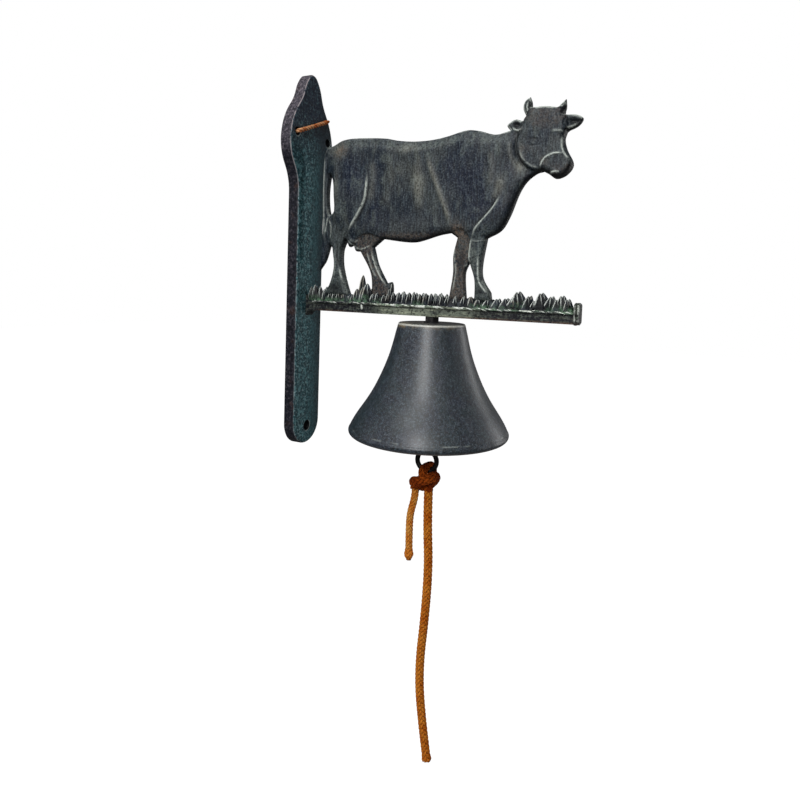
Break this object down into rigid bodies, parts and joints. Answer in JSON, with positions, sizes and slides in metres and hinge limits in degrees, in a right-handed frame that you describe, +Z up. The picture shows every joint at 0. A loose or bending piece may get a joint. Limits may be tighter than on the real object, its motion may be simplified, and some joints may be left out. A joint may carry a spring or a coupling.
{
  "type": "wall mounted bell",
  "caption": "Cast wall plate and arm with a cow standing in grass, a flared bell bolted under the arm, a hanging clapper and a knotted pull rope.",
  "frame": {"origin": "on the wall plane, at the back of the plate on its centre line, level with the arm's bar", "axes": "+X out of the wall along the arm, +Z up, +Y across the plate"},
  "size_m": [0.195, 0.1034, 0.4579],
  "materials": {
    "cast_iron_dark": "rough cast, dark blue-grey wash",
    "cast_iron_bell": "rough cast, worn brown rims",
    "black_steel": "black, satin",
    "rope_orange": "braided cord",
    "cord_copper": "thin twisted cord"
  },
  "bodies": {
    "bracket": {"wall_plate": "cast_iron_dark", "arm_bar": "cast_iron_dark", "grass": "cast_iron_dark", "cow": "cast_iron_dark", "bell": "cast_iron_bell", "crown_washer": "black_steel", "neck_nut": "black_steel", "eyebolt": "black_steel", "tie_cord": "cord_copper"},
    "hanger": {"hanger_link": "black_steel"},
    "clapper": {"clapper_rod": "black_steel", "clapper_ball": "black_steel", "pull_ring": "black_steel"},
    "pull_rope": {"rope_loop": "rope_orange", "rope_knot": "rope_orange", "rope_cord": "rope_orange", "rope_tail": "rope_orange"}
  },
  "joints": [
    {"name": "link_swing", "type": "hinge", "parent": "bracket", "child": "hanger", "pos_m": [0.1027, 0, -0.0253], "axis": [1, 0, 0], "range_deg": [-12, 12]},
    {"name": "clapper_swing", "type": "hinge", "parent": "hanger", "child": "clapper", "pos_m": [0.1027, 0, -0.0326], "axis": [0, 1, 0], "range_deg": [-34, 34]},
    {"name": "rope_swing", "type": "hinge", "parent": "clapper", "child": "pull_rope", "pos_m": [0.1027, 0, -0.1036], "axis": [1, 0, 0], "range_deg": [-50, 50]}
  ]
}
